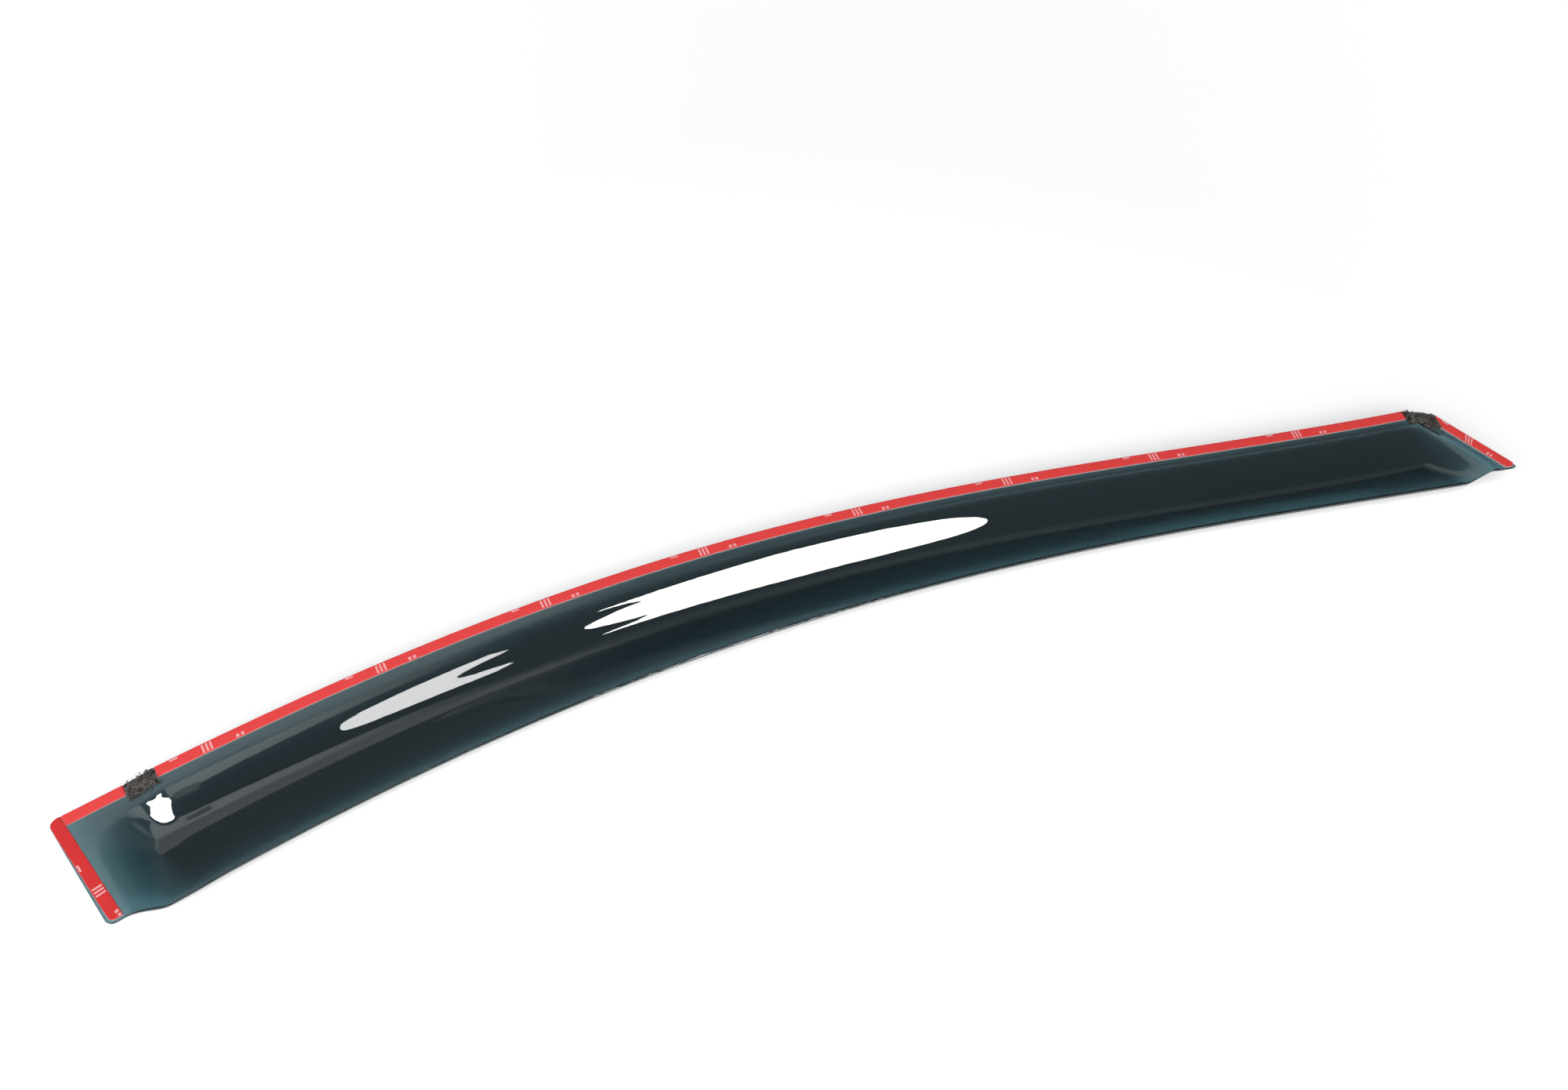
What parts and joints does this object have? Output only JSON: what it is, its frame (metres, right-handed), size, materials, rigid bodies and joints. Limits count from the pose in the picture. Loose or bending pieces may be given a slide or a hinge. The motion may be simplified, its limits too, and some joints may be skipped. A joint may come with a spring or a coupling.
{
  "type": "window rain deflector",
  "caption": "Long bowed smoked acrylic rain deflector for a front side window, shown inner side up with foam tape, red liner and foam pads on its flange.",
  "frame": {"origin": "centre of the bounding box in X and Y, on the surface that the part lies on", "axes": "+X from the blunt front end to the pointed rear end, +Y towards the roof edge, +Z from the outer face to the taped inner side"},
  "size_m": [0.9602, 0.1546, 0.0274],
  "materials": {
    "smoked_acrylic": "gloss, see-through grey-blue smoke tint",
    "black_foam": "open-cell foam, matt and fuzzy",
    "tape_core": "matt grey foam core",
    "red_liner": "satin film with a pale pattern"
  },
  "bodies": {
    "root": {"visor_shell": "smoked_acrylic", "front_foam_pad": "black_foam", "rear_foam_pad": "black_foam", "tape_top_main": "tape_core", "tape_top_front": "tape_core", "tape_front_end": "tape_core", "tape_rear_end": "tape_core", "liner_top_main": "red_liner", "liner_top_front": "red_liner", "liner_front_end": "red_liner", "liner_rear_end": "red_liner"}
  },
  "joints": []
}
